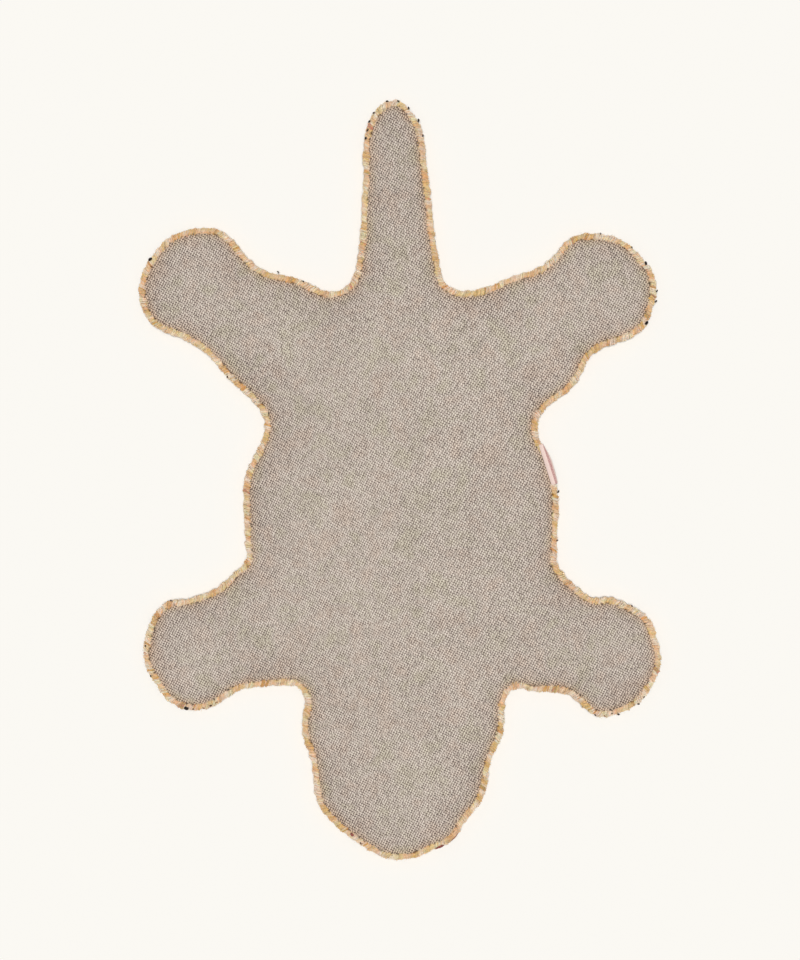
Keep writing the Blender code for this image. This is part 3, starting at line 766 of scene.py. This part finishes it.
pile_bed = rim_body("pile_bed", PILE_BED_SECTION, capped=True)
bed_dye = pile_bed.data.attributes.new("dye", "FLOAT", "POINT")
for vertex in pile_bed.data.vertices:
    bed_dye.data[vertex.index].value = 0.82
pile_bed.data.materials.append(cut_wool)

tuft_shapes = [cut_tuft(f"tuft_{k}", seed=70 + k) for k in range(3)]


def tuft_row(nodes, group):
    """Tufts stood side by side along a loop, dark in the dark zones."""
    points, facing = spots_along(nodes, group, "Tufts")
    spot = add(nodes, "GeometryNodeInputPosition")
    dark_share = add(nodes, "ShaderNodeValue")
    for x, y, radius in DARK_ZONES:
        away = add(nodes, "ShaderNodeVectorMath", {"operation": "DISTANCE"},
                   {0: spot, 1: (x * MM, y * MM, 0)})
        share = add(nodes, "ShaderNodeMapRange", None,
                    {"Value": away.outputs["Value"], "From Min": radius * MM,
                     "From Max": radius * 0.5 * MM})
        dark_share = add(nodes, "ShaderNodeMath", {"operation": "MAXIMUM"},
                         {0: dark_share, 1: share})
    chance = add(nodes, "FunctionNodeRandomValue", {"data_type": "FLOAT"}, {2: 0.0, 3: 1.0, "Seed": 31})
    is_dark = add(nodes, "ShaderNodeMath", {"operation": "GREATER_THAN"},
                  {0: dark_share, 1: chance.outputs[1]})
    tan_shade = add(nodes, "FunctionNodeRandomValue", {"data_type": "FLOAT"},
                    {2: 0.7, 3: 0.95, "Seed": group.outputs["Seed"]})
    dark_shade = add(nodes, "FunctionNodeRandomValue", {"data_type": "FLOAT"},
                     {2: 0.0, 3: 0.35, "Seed": group.outputs["Seed"]})
    shade_here = add(nodes, "ShaderNodeMix", {"data_type": "FLOAT"},
                     {0: is_dark, 2: tan_shade.outputs[1], 3: dark_shade.outputs[1]})
    dyed = add(nodes, "GeometryNodeStoreNamedAttribute", {"data_type": "FLOAT", "domain": "POINT"},
               {0: points, "Name": "dye", "Value": shade_here})
    size = add(nodes, "FunctionNodeRandomValue", {"data_type": "FLOAT_VECTOR"},
               {0: (0.85, 0.7, 0.97), 1: (1.2, 1.3, 1.0), "Seed": 4})
    kinds, pick = one_of(nodes, group, "Tuft", len(tuft_shapes), seed=12)
    return add(nodes, "GeometryNodeInstanceOnPoints", None,
               {"Points": dyed, "Instance": kinds, "Pick Instance": True,
                "Instance Index": pick, "Rotation": facing, "Scale": size.outputs[0]})


pile_pieces = [pile_bed]
for k, (inset, count, seed) in enumerate(TUFT_ROWS):
    pile_pieces.append(mesh_from_nodes(
        line_object(f"pile_row_{k}", moved_in(rim, inset)), f"tuft_row_{k}",
        {"Material": cut_wool, "Tufts": count, "Seed": seed, "Tuft 0": tuft_shapes[0],
         "Tuft 1": tuft_shapes[1], "Tuft 2": tuft_shapes[2]}, tuft_row))
for shape in tuft_shapes:
    bpy.data.objects.remove(shape, do_unlink=True)

tip_lines = []
rim_inward = moved_in(rim, 1.0) - rim
for x, y, thick, shade in PEEPING_TIPS:
    spot = np.array((x, y)) * MM
    at = int(np.argmin(np.linalg.norm(rim - spot, axis=1)))
    inward, along = rim_inward[at], np.array((rim_inward[at][1], -rim_inward[at][0]))
    path = [(1.4, -1.2, 10.0), (0.7, -0.9, 12.2), (0.3, -0.4, 13.6), (0.1, 0.2, 14.2),
            (0.1, 0.8, 14.2), (0.2, 1.2, 13.9)]
    line = np.array([(*(spot + inward * i * MM + along * a * MM * thick), z * MM)
                     for i, a, z in path])
    tip_lines.append((line, [thick * MM * r for r in (0.7, 0.9, 1.0, 1.0, 0.8, 0.35)], shade))
for start, end, thick, shade in LYING_TIPS:
    line = np.linspace(start, end, 5) * MM
    heights = np.array((10.5, 12.9, 13.4, 13.2, 11.0)) * MM
    tip_lines.append((np.column_stack([line, heights]),
                      [thick * MM * r for r in (0.4, 0.85, 1.0, 0.85, 0.4)], shade))
tips = tube_bundle("pile_tips", tip_lines, 8)
shades = [item.value for item in tips.data.attributes["strand"].data]
tips.data.attributes.new("dye", "FLOAT", "POINT").data.foreach_set("value", shades)
tips.data.materials.append(cut_wool)
pile_pieces.append(tips)
for piece in pile_pieces:
    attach(piece, "root")
    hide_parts("pile")


# Label. A short length of pale pink woven tape laid over the overcast edge on the right flank
# and sewn down at its ends. A deeper pink stripe is woven along its outer half.
LABEL_LENGTH = 48.4 * MM
LABEL_THICK = 0.5 * MM
LABEL_ENDS = ((163.2, 41.4), (178.2, -4.6))     # middle of its two short ends, X and Y in mm
LABEL_SECTION = ((-4.6, 9.6), (-4.3, 11.6), (-3.7, 13.2), (-2.7, 14.2), (-1.3, 14.8), (0.0, 14.9),
                 (1.4, 14.8), (2.8, 14.3), (3.8, 13.6), (4.4, 13.3))  # inwards and height, mm
LABEL_STEPS = 48

top_end, low_end = (np.array(end) * MM for end in LABEL_ENDS)
down = (low_end - top_end) / np.linalg.norm(low_end - top_end)
to_rug = np.array((down[1], -down[0]))
rows = []
section_run = np.concatenate(([0], np.cumsum([math.dist(a, b) for a, b in
                                              zip(LABEL_SECTION, LABEL_SECTION[1:])])))
shape = bmesh.new()
tape_uv = shape.loops.layers.uv.new("tape")
dice = random.Random(17)
for step in range(LABEL_STEPS + 1):
    share = step / LABEL_STEPS
    middle = top_end + (low_end - top_end) * share
    level = rim[np.argsort(np.abs((rim - middle) @ down) + 0.2 * np.abs((rim - middle) @ to_rug))[:3]]
    overhang = ((middle - level.mean(axis=0)) @ to_rug / MM + 0.6) / -LABEL_SECTION[0][0]
    press = 0.7 * MM * (math.exp(-share * 14) + math.exp(-(1 - share) * 14))
    bump = 0.15 * MM * math.sin(share * 61) + dice.uniform(-0.05, 0.05) * MM
    rows.append([shape.verts.new((*(middle + to_rug * MM * inward * (overhang if inward < 0 else 1)),
                                  height * MM - press + bump)) for inward, height in LABEL_SECTION])
for step, (near_row, far_row) in enumerate(zip(rows, rows[1:])):
    for i in range(len(near_row) - 1):
        face = shape.faces.new((near_row[i], near_row[i + 1], far_row[i + 1], far_row[i]))
        face.smooth = True
        for loop, (a, b) in zip(face.loops, ((step, i), (step, i + 1), (step + 1, i + 1),
                                             (step + 1, i))):
            loop[tape_uv].uv = (a / LABEL_STEPS * LABEL_LENGTH / MM, section_run[b])
bmesh.ops.recalc_face_normals(shape, faces=shape.faces)
mesh = bpy.data.meshes.new("label_tape")
shape.to_mesh(mesh)
shape.free()
label = bpy.data.objects.new("label_tape", mesh)
bpy.context.scene.collection.objects.link(label)
tape_thickness = label.modifiers.new("thickness", "SOLIDIFY")
tape_thickness.thickness = LABEL_THICK
tape_thickness.offset = 1

# Woven cotton tape in pale pink. It gives fine crosswise ribs, a paler selvedge and one
# deeper stripe that is a little broken up, as a worn woven stripe is.
tape, tree, shader = new_material("woven_cotton_tape")
on_tape = add(tree, "ShaderNodeUVMap", {"uv_map": "tape"})
split = add(tree, "ShaderNodeSeparateXYZ", None, {0: on_tape})
ribs = add(tree, "ShaderNodeMath", {"operation": "SINE"},
           {0: add(tree, "ShaderNodeMath", {"operation": "MULTIPLY"}, {0: split, 1: 2 * math.pi / 0.7})})
worn = add(tree, "ShaderNodeTexNoise", {"noise_dimensions": "2D"},
           {"Vector": on_tape, "Scale": 0.9, "Detail": 2.0})
off_stripe = add(tree, "ShaderNodeMath", {"operation": "SUBTRACT"},
                 {0: split.outputs["Y"], 1: 6.3})
stripe_side = add(tree, "ShaderNodeMath", {"operation": "ABSOLUTE"}, {0: off_stripe})
in_stripe = add(tree, "ShaderNodeMapRange", None,
                {"Value": stripe_side, "From Min": 1.2, "From Max": 1.9, "To Min": 1.0, "To Max": 0.0})
wear = add(tree, "ShaderNodeMapRange", None,
           {"Value": worn.outputs["Fac"], "From Min": 0.35, "From Max": 0.65, "To Min": 0.35})
stripe_worn = add(tree, "ShaderNodeMath", {"operation": "MULTIPLY"}, {0: in_stripe, 1: wear})
base = add(tree, "ShaderNodeValToRGB", None, {0: worn.outputs["Fac"]})
set_ramp(base, [(0.3, "#EACDC2"), (0.7, "#F4DED4")])
striped = add(tree, "ShaderNodeMix", {"data_type": "RGBA"},
              {"Factor": stripe_worn, 6: base, 7: linear("#B07270")})
rib_relief = add(tree, "ShaderNodeBump", None, {"Height": ribs, "Strength": 0.3, "Distance": 0.0002})
tree.links.new(striped.outputs[2], shader.inputs["Base Color"])
tree.links.new(rib_relief.outputs[0], shader.inputs["Normal"])
shader.inputs["Roughness"].default_value = 0.8
shader.inputs["Sheen Weight"].default_value = 0.15
label.data.materials.append(tape)
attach(label, "root")
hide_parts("label")


# Floor, lights and camera. A plain pale floor under soft, nearly shadowless studio light,
# seen from straight above as the rug was photographed.
FLOOR_SIZE = 60.0
FRAME_WIDTH = 800 * 1.147 * MM     # what the picture's 800 pixels take in
FRAME_SHARE = 960 / 800
LENS = 100.0

floor_mesh = bpy.data.meshes.new("floor")
half = FLOOR_SIZE / 2
floor_mesh.from_pydata([(-half, -half, 0), (half, -half, 0), (half, half, 0), (-half, half, 0)],
                       [], [(0, 1, 2, 3)])
floor = bpy.data.objects.new("floor", floor_mesh)
bpy.context.scene.collection.objects.link(floor)
board, tree, shader = new_material("painted_board")
shader.inputs["Base Color"].default_value = linear("#F3F1EC")
shader.inputs["Roughness"].default_value = 0.9
shader.inputs["Specular IOR Level"].default_value = 0.0
floor.data.materials.append(board)

world = bpy.data.worlds.new("studio")
world.use_nodes = True
world.node_tree.nodes["Background"].inputs["Color"].default_value = (1.0, 0.99, 0.97, 1)
world.node_tree.nodes["Background"].inputs["Strength"].default_value = 0.2
bpy.context.scene.world = world
overhead = bpy.data.lights.new("overhead_softbox", "SUN")
overhead.energy = 2.75
overhead.angle = math.radians(16)
lamp = bpy.data.objects.new("overhead_softbox", overhead)
lamp.location = (0, 0, 3)
bpy.context.scene.collection.objects.link(lamp)

lens = bpy.data.cameras.new("camera")
lens.lens = LENS
camera = bpy.data.objects.new("camera", lens)
distance = FRAME_WIDTH * FRAME_SHARE / 2 / (lens.sensor_width / 2 / LENS)
camera.location = (0, 0, BACKING_TOP + distance)
bpy.context.scene.collection.objects.link(camera)
bpy.context.scene.camera = camera
